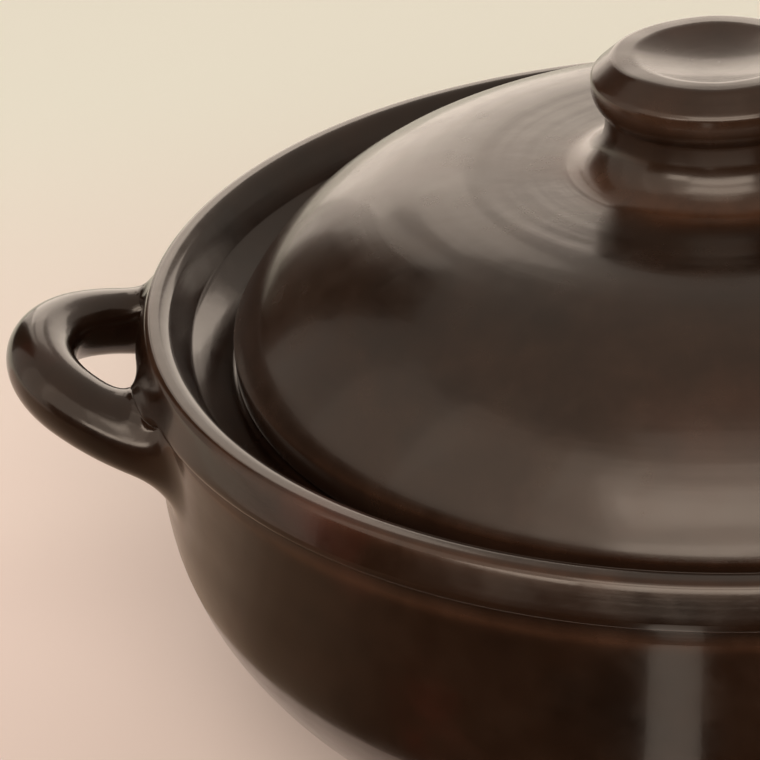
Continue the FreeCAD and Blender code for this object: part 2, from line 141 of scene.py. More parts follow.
# Glaze: colours from pooled to thin places, and where it runs thin, as a radius and a height in
# millimetres, how far that reaches and how strong it is. Gloss is the range of the roughness.
POT_GLAZE = [(0.30, (0.007, 0.0034, 0.0020)), (0.52, (0.016, 0.0074, 0.0040)),
             (0.72, (0.036, 0.0090, 0.0052))]
LID_GLAZE = [(0.30, (0.012, 0.0060, 0.0034)), (0.52, (0.021, 0.0100, 0.0054)),
             (0.72, (0.030, 0.0120, 0.0064))]
POT_GLOSS = (0.13, 0.24)
LID_GLOSS = (0.19, 0.29)
POT_THIN = [((126.5, 97.8), 2.0, 0.20), ((127.0, 84.7), 1.2, 0.20)]
LID_THIN = [((30.0, 124.2), 4.5, 0.35), ((26.6, 142.0), 2.5, 0.15), ((107.6, 89.8), 1.4, 0.15)]
MOTTLE_SHADE = [(0.32, (0.55, 0.5, 0.48)), (0.68, (1.0, 1.0, 1.0))]
THIN_GLAZE = (0.135, 0.058, 0.030, 1.0)
BARE_CLAY = (0.26, 0.13, 0.075, 1.0)
CLAY_ROUGHNESS = 0.85
GLAZE_TINT = (1.0, 0.94, 0.88, 1.0)
GLAZE_COAT = 0.25
POT_SEED = 3.0
LID_SEED = 11.0

# Camera: seen from the front left, 27 degrees above the table. Angles are in degrees; the distance,
# the height it turns about, the lens and the sensor are in millimetres.
CAMERA_HEIGHT = 93.3
CAMERA_AZIMUTH = 9.38
CAMERA_DISTANCE = 540.1
CAMERA_ELEVATION = 26.9
CAMERA_AIM = 9.073
CAMERA_PITCH = -1.995
CAMERA_ROLL = 4.36
CAMERA_LENS = 113.78
CAMERA_SENSOR = 36.0

# Floor: half its width in metres, and the colours of the pale paper from near to far, each with its
# distance behind the pot's axis in metres. It is darker and a little rosier in front: painted shade where
# the pot's shadow falls.
FLOOR_HALF = 3.0
FLOOR_SHADE_COLOURS = [(-0.06, (0.80, 0.70, 0.67)), (0.03, (0.87, 0.765, 0.74)), (0.09, (0.95, 0.85, 0.82)),
                 (0.40, (0.90, 0.935, 0.87))]

# Lights: azimuth and elevation of each panel's middle, its width and height in degrees, and its
# radiance, where 1 is white paper in full light. Panels that overlap add up. All stand at the same
# distance, in metres.
PANEL_DISTANCE = 2.2
ROOM_LIGHT = 0.46
WARM_WHITE = (1.0, 0.86, 0.73)
WARM_WALL = (1.0, 0.84, 0.70)
WINDOW_FRAME = (-92.0, 37.0, 62.0, 42.0, 1.6)
WINDOW_LOW = (-92.0, 23.5, 60.0, 15.0, 2.7)
WINDOW_HIGH = (-92.0, 45.0, 60.0, 14.0, 2.0)
WINDOW_GLOW = (-95.0, 64.0, 60.0, 14.0, 0.7)
WINDOW_SILL = (-133.0, 17.5, 22.0, 10.0, 3.9)
NEAR_WALL = (-131.0, 35.0, 18.0, 44.0, 0.85)
FAR_WALL = (-158.0, 32.0, 36.0, 44.0, 0.50)
LEFT_WALL = (174.0, 24.0, 30.0, 46.0, 0.25)
BACKLIGHT = (84.0, 13.0, 50.0, 31.0, 1.75)
BACKLIGHT_TOP = (98.0, 34.0, 15.0, 14.0, 1.3)
BACKLIGHT_SIDE = (112.5, 20.0, 7.0, 44.0, 0.85)

# Screen beside the bright opening behind: its middle, width and height in degrees, and its colour.
DARK_SCREEN = (126.5, 22.0, 21.0, 46.0)
SCREEN_COLOUR = (0.02, 0.016, 0.012, 1.0)

# Painted shade before the pot: a dark card on the floor and a wall behind it stand for the shaded floor
# in front and are seen only in the glaze, with a glowing strip that paints the window's streak of
# reflection down the bowl: first and last azimuth in degrees, then inner and outer distance in
# millimetres. The card fades to light towards both ends, by shares of its turn.
SECTOR_STEPS = 40
SHADE_CARD = (150.0, 348.0, 134.0, 900.0)
CARD_SHADE = (0.045, 0.033, 0.024)
CARD_LIGHT = (0.78, 0.66, 0.60)
CARD_FADE = [(0.03, CARD_LIGHT), (0.12, (0.52, 0.42, 0.35)), (0.23, (0.22, 0.17, 0.13)),
             (0.36, CARD_SHADE), (0.76, CARD_SHADE), (0.99, CARD_LIGHT)]
CARD_LIFT = 0.5
SHADE_WALL = (192.0, 348.0, 900.0, 900.0)
WALL_HEIGHT = 275.0
REFLECTION_STRIP = (-108.0, -101.0, 134.0, 900.0)
STRIP_LIFT = 1.0
STRIP_GLOW = 1.1


def arc_points(centre, radius, first, last, step):
    """Points along an arc between two angles in degrees."""
    count = max(2, int(math.ceil(abs(math.radians(last - first)) * radius / step)))
    angles = np.radians(np.linspace(first, last, count + 1))
    return [(centre[0] + radius * math.cos(a), centre[1] + radius * math.sin(a)) for a in angles]


def line_points(start, end, step):
    """Points along a straight stretch, both ends included."""
    length = math.hypot(end[0] - start[0], end[1] - start[1])
    count = max(1, int(math.ceil(length / step)))
    return [(start[0] + (end[0] - start[0]) * i / count, start[1] + (end[1] - start[1]) * i / count)
            for i in range(count + 1)]


def point_between(start, end, share):
    """The point at a share of the way from a start to an end."""
    return (start[0] + (end[0] - start[0]) * share, start[1] + (end[1] - start[1]) * share)


def corner_points(before, corner, after, radius, step):
    """A corner rounded by an arc that touches both of its sides."""
    before = Vector(before)
    corner = Vector(corner)
    after = Vector(after)
    first = (before - corner).normalized()
    second = (after - corner).normalized()
    half = first.angle(second) / 2.0
    centre = corner + (first + second).normalized() * (radius / math.sin(half))
    touch_first = corner + first * (radius / math.tan(half))
    touch_second = corner + second * (radius / math.tan(half))
    start = math.degrees(math.atan2(*(touch_first - centre).yx))
    end = math.degrees(math.atan2(*(touch_second - centre).yx))
    turn = (end - start + 180.0) % 360.0 - 180.0
    return arc_points(centre, radius, start, start + turn, step)


def touch_angle(centre, radius, point, side):
    """Angle on a circle where a line from a point touches it."""
    across = point[0] - centre[0]
    up = point[1] - centre[1]
    open_angle = math.degrees(math.acos(radius / math.hypot(across, up)))
    return math.degrees(math.atan2(up, across)) + side * open_angle


def circle_point(centre, radius, angle):
    """The point of a circle at an angle in degrees."""
    turn = math.radians(angle)
    return (centre[0] + radius * math.cos(turn), centre[1] + radius * math.sin(turn))


def rise(value, low, high):
    """Share from 0 at one value to 1 at another, level beyond both."""
    return np.clip((value - low) / (high - low), 0.0, 1.0)


def clean_path(*stretches):
    """Join stretches of points and drop the repeated ones."""
    path = []
    for stretch in stretches:
        for point in stretch:
            if not path or math.hypot(point[0] - path[-1][0], point[1] - path[-1][1]) > 0.02:
                path.append(point)
    return path


def pot_profile():
    """Half section of the bowl, from the base's centre round to the floor's centre.

    Each stretch ends with the spacing of its points in millimetres, closest at tight roundings.
    """
    corner_centre = (BOWL_RADIUS - BOWL_CORNER, FOOT_HEIGHT + BOWL_CORNER)
    foot_angle = math.degrees(math.asin((FOOT_RADIUS - corner_centre[0]) / BOWL_CORNER)) - 90.0
    foot_top = circle_point(corner_centre, BOWL_CORNER, foot_angle + FOOT_GAP)
    ridge = (BOWL_RADIUS, RIDGE_HEIGHT)
    cove = (COVE_RADIUS, COVE_HEIGHT)
    gallery = (GALLERY_RADIUS, GALLERY_HEIGHT)
    recess = (RECESS_RADIUS, SEAT_HEIGHT)
    slope_first = point_between(gallery, recess, 0.25)
    slope_last = point_between(gallery, recess, 0.85)
    seat_first = (RECESS_RADIUS - CORNER_GAP, SEAT_HEIGHT)
    seat_last = (SHELF_RADIUS + SHELF_GAP, SEAT_HEIGHT)
    lip_first = touch_angle(LIP_EDGE, LIP_CORNER_ROUND, cove, 1.0)
    lip_face = math.degrees(math.atan2(LIP_EDGE[0] - LIP_CORNER[0], LIP_CORNER[1] - LIP_EDGE[1]))
    lip_last = touch_angle(LIP_INNER, LIP_INNER_ROUND, gallery, -1.0) + 360.0
    lip_end = circle_point(LIP_INNER, LIP_INNER_ROUND, lip_last)
    inner_radius = BOWL_RADIUS - BOWL_WALL
    inner_corner = BOWL_CORNER - BOWL_WALL
    blend_centre = (inner_radius - SHELF_BLEND, SHELF_UNDER - SHELF_BLEND)
    floor_height = FOOT_HEIGHT + BOWL_WALL
    base_corner = (FOOT_INNER, FOOT_HEIGHT)
    foot_in = (FOOT_INNER, 0.0)
    foot_out = (FOOT_RADIUS, 0.0)
    foot_root = (FOOT_RADIUS, foot_top[1])
    shelf_top = (SHELF_RADIUS, SEAT_HEIGHT)
    shelf_low = (SHELF_RADIUS, SHELF_UNDER)
    return clean_path(
        line_points((0.0, FOOT_HEIGHT), (FOOT_INNER - CORNER_GAP, FOOT_HEIGHT), 8.0),
        corner_points((0.0, FOOT_HEIGHT), base_corner, foot_in, BASE_ROUND, 0.5),
        corner_points(base_corner, foot_in, foot_out, FOOT_ROUND, 0.5),
        corner_points(foot_in, foot_out, foot_root, FOOT_ROUND, 0.5),
        corner_points(foot_out, foot_root, foot_top, BASE_ROUND, 0.4),
        arc_points(corner_centre, BOWL_CORNER, foot_angle + FOOT_GAP, 0.0, 2.6),
        line_points((BOWL_RADIUS, corner_centre[1]), (BOWL_RADIUS, RIDGE_HEIGHT - RIDGE_GAP), 1.3),
        corner_points((BOWL_RADIUS, corner_centre[1]), ridge, cove, RIDGE_ROUND, 0.35),
        corner_points(ridge, cove, circle_point(LIP_EDGE, LIP_CORNER_ROUND, lip_first), COVE_ROUND, 0.3),
        arc_points(LIP_EDGE, LIP_CORNER_ROUND, lip_first, lip_face, 0.3),
        line_points(circle_point(LIP_EDGE, LIP_CORNER_ROUND, lip_face),
                    circle_point(LIP_CORNER, LIP_CORNER_ROUND, lip_face), 0.9),
        arc_points(LIP_CORNER, LIP_CORNER_ROUND, lip_face, 90.0, 0.3),
        arc_points(LIP_INNER, LIP_INNER_ROUND, 90.0, lip_last, 0.4),
        corner_points(lip_end, gallery, recess, GALLERY_ROUND, 0.4),
        line_points(slope_first, slope_last, 0.9),
        corner_points(gallery, recess, shelf_top, RECESS_ROUND, 0.3),
        line_points(seat_first, seat_last, 3.0),
        corner_points(recess, shelf_top, shelf_low, SHELF_ROUND, 0.6),
        corner_points(shelf_top, shelf_low, (inner_radius, SHELF_UNDER), SHELF_ROUND, 0.6),
        arc_points(blend_centre, SHELF_BLEND, 90.0, 0.0, 1.8),
        arc_points(corner_centre, inner_corner, 0.0, -90.0, 3.5),
        line_points((corner_centre[0], floor_height), (0.0, floor_height), 9.0))


def lid_profile():
    """Half section of the lid, from under the crown round to the knob's dish."""
    shoulder_height = LID_CROWN - LID_SHOULDER
    shoulder_radius = LID_RADIUS - math.sqrt(LID_SHOULDER ** 2 - (LID_EDGE_HEIGHT - shoulder_height) ** 2)
    shoulder = (shoulder_radius, shoulder_height)
    inner = LID_SHOULDER - LID_WALL
    ring_inner = LID_RADIUS - LID_RING
    inner_last = math.degrees(math.acos((ring_inner - shoulder_radius) / inner))
    edge_angle = math.degrees(math.atan2(LID_EDGE_HEIGHT - shoulder_height, LID_RADIUS - shoulder_radius))
    ring_low = (ring_inner, SEAT_HEIGHT)
    edge_low = (LID_RADIUS, SEAT_HEIGHT)
    edge_high = (LID_RADIUS, LID_EDGE_HEIGHT)
    edge_after = circle_point(shoulder, LID_SHOULDER, edge_angle + SHOULDER_GAP)
    flare = (NECK_RADIUS + NECK_FLARE, LID_CROWN + NECK_FLARE)
    knob = (KNOB_RADIUS - KNOB_ROUND, KNOB_HEIGHT)
    under_angle = -math.degrees(math.acos((NECK_RADIUS - knob[0]) / KNOB_ROUND))
    under_knob = circle_point(knob, KNOB_ROUND, under_angle)
    knob_first = circle_point(knob, KNOB_ROUND, under_angle + NECK_GAP)
    bevel = math.degrees(math.atan2(KNOB_TOP[1] - KNOB_EDGE[1], KNOB_TOP[0] - KNOB_EDGE[0])) - 90.0
    bevel_first = circle_point(KNOB_EDGE, KNOB_CORNER, bevel)
    bevel_last = circle_point(KNOB_TOP, KNOB_CORNER, bevel)
    ring = (KNOB_RING, KNOB_TOP[1] + KNOB_CORNER - RING_ROUND)
    dish_angle = math.degrees(math.asin(KNOB_RING / (DISH_RADIUS + RING_ROUND)))
    dish_centre = (0.0, ring[1] + (DISH_RADIUS + RING_ROUND) * math.cos(math.radians(dish_angle)))
    return clean_path(
        line_points((0.0, LID_CROWN - LID_WALL), (shoulder_radius, LID_CROWN - LID_WALL), 8.0),
        arc_points(shoulder, inner, 90.0, inner_last, 3.0),
        corner_points((ring_inner, LID_EDGE_HEIGHT), ring_low, edge_low, RING_INNER_ROUND, 0.3),
        corner_points(ring_low, edge_low, edge_high, LID_EDGE_ROUND, 0.35),
        corner_points(edge_low, edge_high, edge_after, LID_EDGE_ROUND, 0.35),
        arc_points(shoulder, LID_SHOULDER, edge_angle + SHOULDER_GAP, 90.0, 0.9),
        line_points((shoulder_radius, LID_CROWN), (flare[0], LID_CROWN), 1.5),
        arc_points(flare, NECK_FLARE, -90.0, -180.0, 0.6),
        corner_points((NECK_RADIUS, flare[1]), under_knob, knob_first, NECK_ROUND, 0.3),
        arc_points(knob, KNOB_ROUND, under_angle + NECK_GAP, 0.0, 0.5),
        arc_points(KNOB_EDGE, KNOB_CORNER, 0.0, bevel, 0.3),
        line_points(bevel_first, bevel_last, 0.6),
        arc_points(KNOB_TOP, KNOB_CORNER, bevel, 90.0, 0.3),
        arc_points(ring, RING_ROUND, 90.0, 90.0 + dish_angle, 0.4),
        arc_points(dish_centre, DISH_RADIUS, dish_angle - 90.0, -90.0, 1.0))


def column_angles(middles, spread, fine, coarse):
    """Angles of the columns in radians, closer together near some middles, from values in degrees."""
    angles = []
    angle = 0.0
    while angle < 360.0 - 0.5 * coarse:
        angles.append(angle)
        away = min(abs((angle - middle + 180.0) % 360.0 - 180.0) for middle in middles)
        angle += fine if away < spread else coarse
    return np.radians(angles)


def turned_mesh(name, profile, angles, wobble):
    """Turn a half section round the axis, with a small hand-made wobble along the surface's normal."""
    points = np.array(profile)
    ahead = np.roll(points, -1, axis=0) - np.roll(points, 1, axis=0)
    ahead[0] = (1.0, 0.0)
    ahead[-1] = (1.0, 0.0)
    ahead /= np.linalg.norm(ahead, axis=1)[:, None]
    normal = np.column_stack([ahead[:, 1], -ahead[:, 0]])
    columns = len(angles)
    inner = points[1:-1]
    radius = np.repeat(inner[:, 0][:, None], columns, axis=1)
    height = np.repeat(inner[:, 1][:, None], columns, axis=1)
    offset = wobble(radius, height, angles[None, :])
    radius = radius + offset * normal[1:-1, 0][:, None]
    height = height + offset * normal[1:-1, 1][:, None]
    grid = np.stack([radius * np.cos(angles), radius * np.sin(angles), height], axis=-1)
    rows = len(inner)
    poles = [[0.0, 0.0, points[0, 1]], [0.0, 0.0, points[-1, 1]]]
    vertices = np.concatenate([grid.reshape(-1, 3), poles])
    faces = []
    for row in range(rows - 1):
        here = row * columns
        there = here + columns
        for column in range(columns):
            beside = (column + 1) % columns
            faces.append((here + column, here + beside, there + beside, there + column))
    first_pole = rows * columns
    last_row = (rows - 1) * columns
    for column in range(columns):
        beside = (column + 1) % columns
        faces.append((beside, column, first_pole))
        faces.append((last_row + column, last_row + beside, first_pole + 1))
    return new_object(name, vertices, faces)


def new_object(name, vertices, faces):
    """A smooth object at the origin from vertices in millimetres."""
    mesh = bpy.data.meshes.new(name)
    mesh.from_pydata((np.asarray(vertices) * MM).tolist(), [], faces)
    mesh.polygons.foreach_set("use_smooth", [True] * len(faces))
    mesh.update()
    return add_object(name, mesh)


def add_object(name, data):
    """An object with some data, put into the scene."""
    made = bpy.data.objects.new(name, data)
    bpy.context.scene.collection.objects.link(made)
    return made


def new_material(name):
    """A material with its node tree and its main shader."""
    material = bpy.data.materials.new(name)
    material.use_nodes = True
    tree = material.node_tree
    return material, tree, tree.nodes["Principled BSDF"]


def pot_wobble(radius, height, angle):
    """Slight unevenness of the thrown bowl, in millimetres, none where the lid and the table touch it."""
    side = rise(radius, 112.0, 118.0) * rise(height, 0.0, 12.0)
    waves = 0.06 * np.sin(3.0 * angle + 0.6) + 0.03 * np.sin(7.0 * angle + 2.1 + height * 0.02)
    rings = 0.03 * np.sin(height * 0.55 + 0.4 * np.sin(angle))
    return side * (waves + rings) - BOWL_SET_BACK * side


def lid_wobble(radius, height, angle):
    """Slight unevenness of the lid and a livelier one round its hand-shaped neck and knob."""
    dome = rise(radius, 106.0, 98.0) * rise(height, 92.0, 100.0)
    dome = dome * rise(radius, 20.0, 32.0)
    waves = 0.08 * np.sin(2.0 * angle + 1.2) + 0.05 * np.sin(5.0 * angle + 0.3)
    rings = 0.010 * np.sin(radius * 0.62 + 0.5 * np.sin(angle)) + 0.006 * np.sin(radius * 1.37)
    near = rise(radius, 12.0, 20.0) * rise(radius, 38.0, 28.0)
    knob = near * rise(height, 122.0, 128.0)
    shaped = 0.06 * np.sin(5.0 * angle + 0.9) + 0.02 * np.sin(11.0 * angle + height * 0.2)
    return dome * (waves + rings) + knob * shaped - KNOB_SET_BACK * knob - DOME_SET_BACK * dome


def grip_frame(side):
    """Origin and directions of a handle's tilted plane; side is 1 for the right and -1 for the left."""
    tilt = math.radians(GRIP_TILT)
    origin = Vector((side * GRIP_START[0], 0.0, GRIP_START[1]))
    out = Vector((side * math.cos(tilt), 0.0, math.sin(tilt)))
    along = Vector((0.0, side, 0.0))
    return origin, out, along, out.cross(along)


def grip_line(count):
    """Centre line of the loop in its own plane, with its outward direction, from root to root."""
    end_centre = GRIP_REACH - GRIP_BEND
    side_radius = (end_centre ** 2 + GRIP_HALF ** 2 - GRIP_BEND ** 2) / (2.0 * (GRIP_HALF - GRIP_BEND))
    side_centre = side_radius - GRIP_HALF
    turn = math.atan2(-side_centre, end_centre)
    side_length = side_radius * (turn + math.pi / 2.0)
    end_length = GRIP_BEND * -2.0 * turn
    total = 2.0 * side_length + end_length
    stations = []
    for i in range(count + 1):
        travelled = total * i / count
        if travelled < side_length:
            angle = travelled / side_radius - math.pi / 2.0
            centre = (0.0, side_centre)
            radius = side_radius
        elif travelled < side_length + end_length:
            angle = turn + (travelled - side_length) / GRIP_BEND
            centre = (end_centre, 0.0)
            radius = GRIP_BEND
        else:
            angle = -turn + (travelled - side_length - end_length) / side_radius
            centre = (0.0, -side_centre)
            radius = side_radius
        across = centre[0] + radius * math.cos(angle)
        aside = centre[1] + radius * math.sin(angle)
        stations.append((across, aside, angle))
    return stations


def grip_object(name, side):
    """One loop handle as a closed round tube whose ends lie inside the bowl's wall."""
    origin, out, along, up = grip_frame(side)
    stations = grip_line(GRIP_STATIONS)
    vertices = []
    for across, aside, angle in stations:
        centre = origin + out * across + along * aside
        outward = out * math.cos(angle) + along * math.sin(angle)
        for k in range(GRIP_COLUMNS):
            turn = 2.0 * math.pi * k / GRIP_COLUMNS
            vertices.append(centre + (outward * math.cos(turn) + up * math.sin(turn)) * GRIP_ROUND)
    faces = []
    for row in range(len(stations) - 1):
        here = row * GRIP_COLUMNS
        there = here + GRIP_COLUMNS
        for k in range(GRIP_COLUMNS):
            beside = (k + 1) % GRIP_COLUMNS
            faces.append((here + k, there + k, there + beside, here + beside))
    last = len(vertices) - 1
    faces.append(tuple(range(GRIP_COLUMNS)))
    faces.append(tuple(range(last, last - GRIP_COLUMNS, -1)))
    return new_object(name, vertices, faces)


def join(base, other):
    """Fuse another closed object into a base with an exact union."""
    modifier = base.modifiers.new("join", "BOOLEAN")
    modifier.operation = "UNION"
    modifier.solver = "EXACT"
    modifier.object = other
    shape = bpy.data.meshes.new_from_object(base.evaluated_get(bpy.context.evaluated_depsgraph_get()))
    base.modifiers.clear()
    base.data = shape
    bpy.data.objects.remove(other)


def nearest_on_line(points, line):
    """Distance of each point from a line of straight stretches, its nearest place and stretch."""
    start = line[:-1]
    step = line[1:] - start
    share = ((points[:, None, :] - start[None]) * step[None]).sum(-1) / (step ** 2).sum(-1)
    near = start[None] + step[None] * np.clip(share, 0.0, 1.0)[..., None]
    gap = np.linalg.norm(points[:, None, :] - near, axis=-1)
    best = np.argmin(gap, axis=1)
    rows = np.arange(len(points))
    return gap[rows, best], near[rows, best], best


def wall_distance(points, profile):
    """Signed distance from the bowl's outside, and its direction, in millimetres."""
    flat = np.column_stack([np.hypot(points[:, 0], points[:, 1]), points[:, 2]])
    angle = np.arctan2(points[:, 1], points[:, 0])
    reach, near, best = nearest_on_line(flat, profile)
    away = flat - near
    step = profile[1:] - profile[:-1]
    normal = np.column_stack([step[:, 1], -step[:, 0]]) / np.linalg.norm(step, axis=1)[:, None]
    normal = normal[best]
    sign = np.where((away * normal).sum(-1) < 0.0, -1.0, 1.0)
    blend = rise(reach, 0.0, 0.5)[:, None]
    direction = normal * (1.0 - blend) + sign[:, None] * away / np.maximum(reach, 1e-9)[:, None] * blend
    direction /= np.linalg.norm(direction, axis=1)[:, None]
    outward = direction[:, 0]
    spread = np.column_stack([outward * np.cos(angle), outward * np.sin(angle), direction[:, 1]])
    return sign * reach - pot_wobble(flat[:, 0], flat[:, 1], angle), spread


def grip_distance(points):
    """Signed distance from the nearer handle's round surface, and its direction, in millimetres."""
    side = np.where(points[:, 0] < 0.0, -1.0, 1.0)
    mirror = np.column_stack([side, side, np.ones(len(points))])
    origin, out, along, _ = grip_frame(1.0)
    stations = grip_line(GRIP_MEASURE_STATIONS)
    line = np.array([origin + out * across + along * aside for across, aside, _ in stations])
    gap, near, _ = nearest_on_line(points * mirror, line)
    away = points * mirror - near
    direction = away / np.linalg.norm(away, axis=1)[:, None]
    return gap - GRIP_ROUND, direction * mirror


def blend_roots(pot):
    """Pull the seam between bowl and handles onto a soft common surface, as wet clay is smoothed."""
    mesh = pot.data
    count = len(mesh.vertices)
    points = np.empty(count * 3)
    mesh.vertices.foreach_get("co", points)
    points = points.reshape(-1, 3) / MM
    edges = np.empty(len(mesh.edges) * 2, dtype=np.int64)
    mesh.edges.foreach_get("vertices", edges)
    edges = edges.reshape(-1, 2)
    profile = outer_wall()
    radius = np.hypot(points[:, 0], points[:, 1])
    beside_roots = (radius > ROOT_RADIUS) & (np.abs(points[:, 1]) < ROOT_HALF_WIDTH)
    close = np.nonzero(beside_roots & (points[:, 2] > ROOT_HEIGHT))[0]
    wall, _ = wall_distance(points[close], profile)
    grip, _ = grip_distance(points[close])
    near_wall = (wall > -ROOT_DEPTH) & (wall < GRIP_BLEND)
    near_grip = (grip > -ROOT_DEPTH) & (grip < GRIP_BLEND)
    active = close[near_wall & near_grip]
    points[active] = settle(points[active], profile, ROOT_SETTLE_ROUNDS)
    for _ in range(ROOT_SMOOTH_ROUNDS):
        total = np.zeros((count, 3))
        number = np.zeros(count)
        np.add.at(total, edges[:, 0], points[edges[:, 1]])
        np.add.at(total, edges[:, 1], points[edges[:, 0]])
        np.add.at(number, edges[:, 0], 1.0)
        np.add.at(number, edges[:, 1], 1.0)
        mean = total[active] / number[active][:, None]
        wall, _ = wall_distance(points[active], profile)
        grip, _ = grip_distance(points[active])
        seam = np.clip(1.6 - np.maximum(wall, grip) / 3.0, 0.0, 1.0)[:, None]
        points[active] += 0.5 * seam * (mean - points[active])
        points[active] = settle(points[active], profile, 1)
    mesh.vertices.foreach_set("co", (points * MM).ravel())
    mesh.update()


def settle(points, profile, rounds):
    """Move points onto the smooth union of the bowl's outside and the handles."""
    for _ in range(rounds):
        wall, wall_way = wall_distance(points, profile)
        grip, grip_way = grip_distance(points)
        radius = np.hypot(points[:, 0], points[:, 1])
        fade = rise(radius, 121.0, 126.0)
        soft = np.maximum(GRIP_BLEND * fade * fade * (3.0 - 2.0 * fade), 0.05)
        share = np.clip(0.5 + 0.5 * (grip - wall) / soft, 0.0, 1.0)
        level = wall * share + grip * (1.0 - share) - soft * share * (1.0 - share)
        way = wall_way * share[:, None] + grip_way * (1.0 - share)[:, None]
        size = np.maximum((way ** 2).sum(-1), 0.25)
        points = points - np.clip(level / size, -2.0, 2.0)[:, None] * way
    return points


def outer_wall():
    """Outline of the bowl's outside, from the foot over the lip to the gallery."""
    points = np.array(pot_profile())
    start = int(np.argmax(points[:, 0] > FOOT_RADIUS + 1.0))
    top = int(np.argmax(points[:, 1]))
    inner = top + int(np.argmax(points[top:, 0] < GALLERY_RADIUS + 0.4))
    return points[start:inner]


def band(radius, height, middle, reach):
    """Soft spot of the half section round a radius and a height."""
    away = np.hypot(radius - middle[0], height - middle[1]) / reach
    return np.exp(-away ** 2)


def mark_thin_glaze(made, spots):
    """Store where glaze runs thin and shows the redder body, as a value from 0 to 1 on each vertex."""
    mesh = made.data
    points = np.empty(len(mesh.vertices) * 3)
    mesh.vertices.foreach_get("co", points)
    points = points.reshape(-1, 3) / MM
    radius = np.hypot(points[:, 0], points[:, 1])
    thin = np.zeros(len(points))
    for middle, reach, strength in spots:
        thin = np.maximum(thin, strength * band(radius, points[:, 2], middle, reach))
    mesh.attributes.new("thin", "FLOAT", "POINT").data.foreach_set("value", thin)
    bare = (points[:, 2] < 1.0) & (radius < FOOT_RADIUS + 1.0)
    mesh.attributes.new("bare", "FLOAT", "POINT").data.foreach_set("value", bare.astype(float))


def node(tree, kind, place, **values):
    """Add a node, with its settings as keywords and its inputs by name."""
    made = tree.nodes.new(kind)
    made.location = place
    for name, value in values.items():
        label = name.replace("_", " ").title()
        if hasattr(made, name):
            setattr(made, name, value)
        else:
            made.inputs[label].default_value = value
    return made


def colour_steps(tree, place, steps):
    """A colour ramp from a list of places and colours."""
    ramp = tree.nodes.new("ShaderNodeValToRGB")
    ramp.location = place
    ramp.color_ramp.interpolation = "EASE"
    while len(ramp.color_ramp.elements) < len(steps):
        ramp.color_ramp.elements.new(0.5)
    for element, (where, colour) in zip(ramp.color_ramp.elements, steps):
        element.position = where
        element.color = (*colour, 1.0)
    return ramp


def noise(tree, place, vector, scale, detail, roughness):
    """A noise texture on a vector output."""
    made = node(tree, "ShaderNodeTexNoise", place, scale=scale, detail=detail, roughness=roughness)
    tree.links.new(vector, made.inputs["Vector"])
    return made


def glaze_colour(tree, shift, mottle, clay, body):
    """Base colour: pooled and thin glaze, mottled, redder over the ridges and bare under the foot."""
    link = tree.links.new
    pooled = noise(tree, (-1300, 300), shift.outputs[0], 17.0, 4.0, 0.55)
    colours = colour_steps(tree, (-1050, 300), body)
    link(pooled.outputs["Fac"], colours.inputs["Fac"])
    shade = colour_steps(tree, (-1050, 60), MOTTLE_SHADE)
    link(mottle.outputs["Fac"], shade.inputs["Fac"])
    mottled = node(tree, "ShaderNodeMixRGB", (-780, 300), blend_type="MULTIPLY")
    mottled.inputs["Fac"].default_value = 0.55
    link(colours.outputs["Color"], mottled.inputs["Color1"])
    link(shade.outputs["Color"], mottled.inputs["Color2"])
    thin = node(tree, "ShaderNodeAttribute", (-1300, 560), attribute_name="thin")
    spread = node(tree, "ShaderNodeMath", (-1050, 720), operation="MULTIPLY_ADD")
    spread.inputs[1].default_value = 1.6
    spread.inputs[2].default_value = -0.1
    link(mottle.outputs["Fac"], spread.inputs[0])
    uneven = node(tree, "ShaderNodeMath", (-1050, 560), operation="MULTIPLY")
    link(thin.outputs["Fac"], uneven.inputs[0])
    link(spread.outputs[0], uneven.inputs[1])
    reddened = node(tree, "ShaderNodeMixRGB", (-540, 380))
    reddened.inputs["Color2"].default_value = THIN_GLAZE
    link(uneven.outputs[0], reddened.inputs["Fac"])
    link(mottled.outputs["Color"], reddened.inputs["Color1"])
    fired = node(tree, "ShaderNodeMixRGB", (-300, 420))
    fired.inputs["Color2"].default_value = BARE_CLAY
    link(clay.outputs["Fac"], fired.inputs["Fac"])
    link(reddened.outputs["Color"], fired.inputs["Color1"])
    link(fired.outputs["Color"], tree.nodes["Principled BSDF"].inputs["Base Color"])


def glaze_gloss(tree, mottle, clay, gloss_range):
    """Roughness: glossy with slight spots, and matt where the clay is bare."""
    link = tree.links.new
    gloss = node(tree, "ShaderNodeMapRange", (-780, 40))
    gloss.inputs["From Min"].default_value = 0.3
    gloss.inputs["From Max"].default_value = 0.7
    gloss.inputs["To Min"].default_value = gloss_range[0]
    gloss.inputs["To Max"].default_value = gloss_range[1]
    link(mottle.outputs["Fac"], gloss.inputs["Value"])
    rough_clay = node(tree, "ShaderNodeMath", (-540, 180), operation="MULTIPLY")
    rough_clay.inputs[1].default_value = CLAY_ROUGHNESS
    link(clay.outputs["Fac"], rough_clay.inputs[0])
    matt = node(tree, "ShaderNodeMath", (-300, 60), operation="MAXIMUM")
    link(gloss.outputs["Result"], matt.inputs[0])
    link(rough_clay.outputs[0], matt.inputs[1])
    link(matt.outputs[0], tree.nodes["Principled BSDF"].inputs["Roughness"])


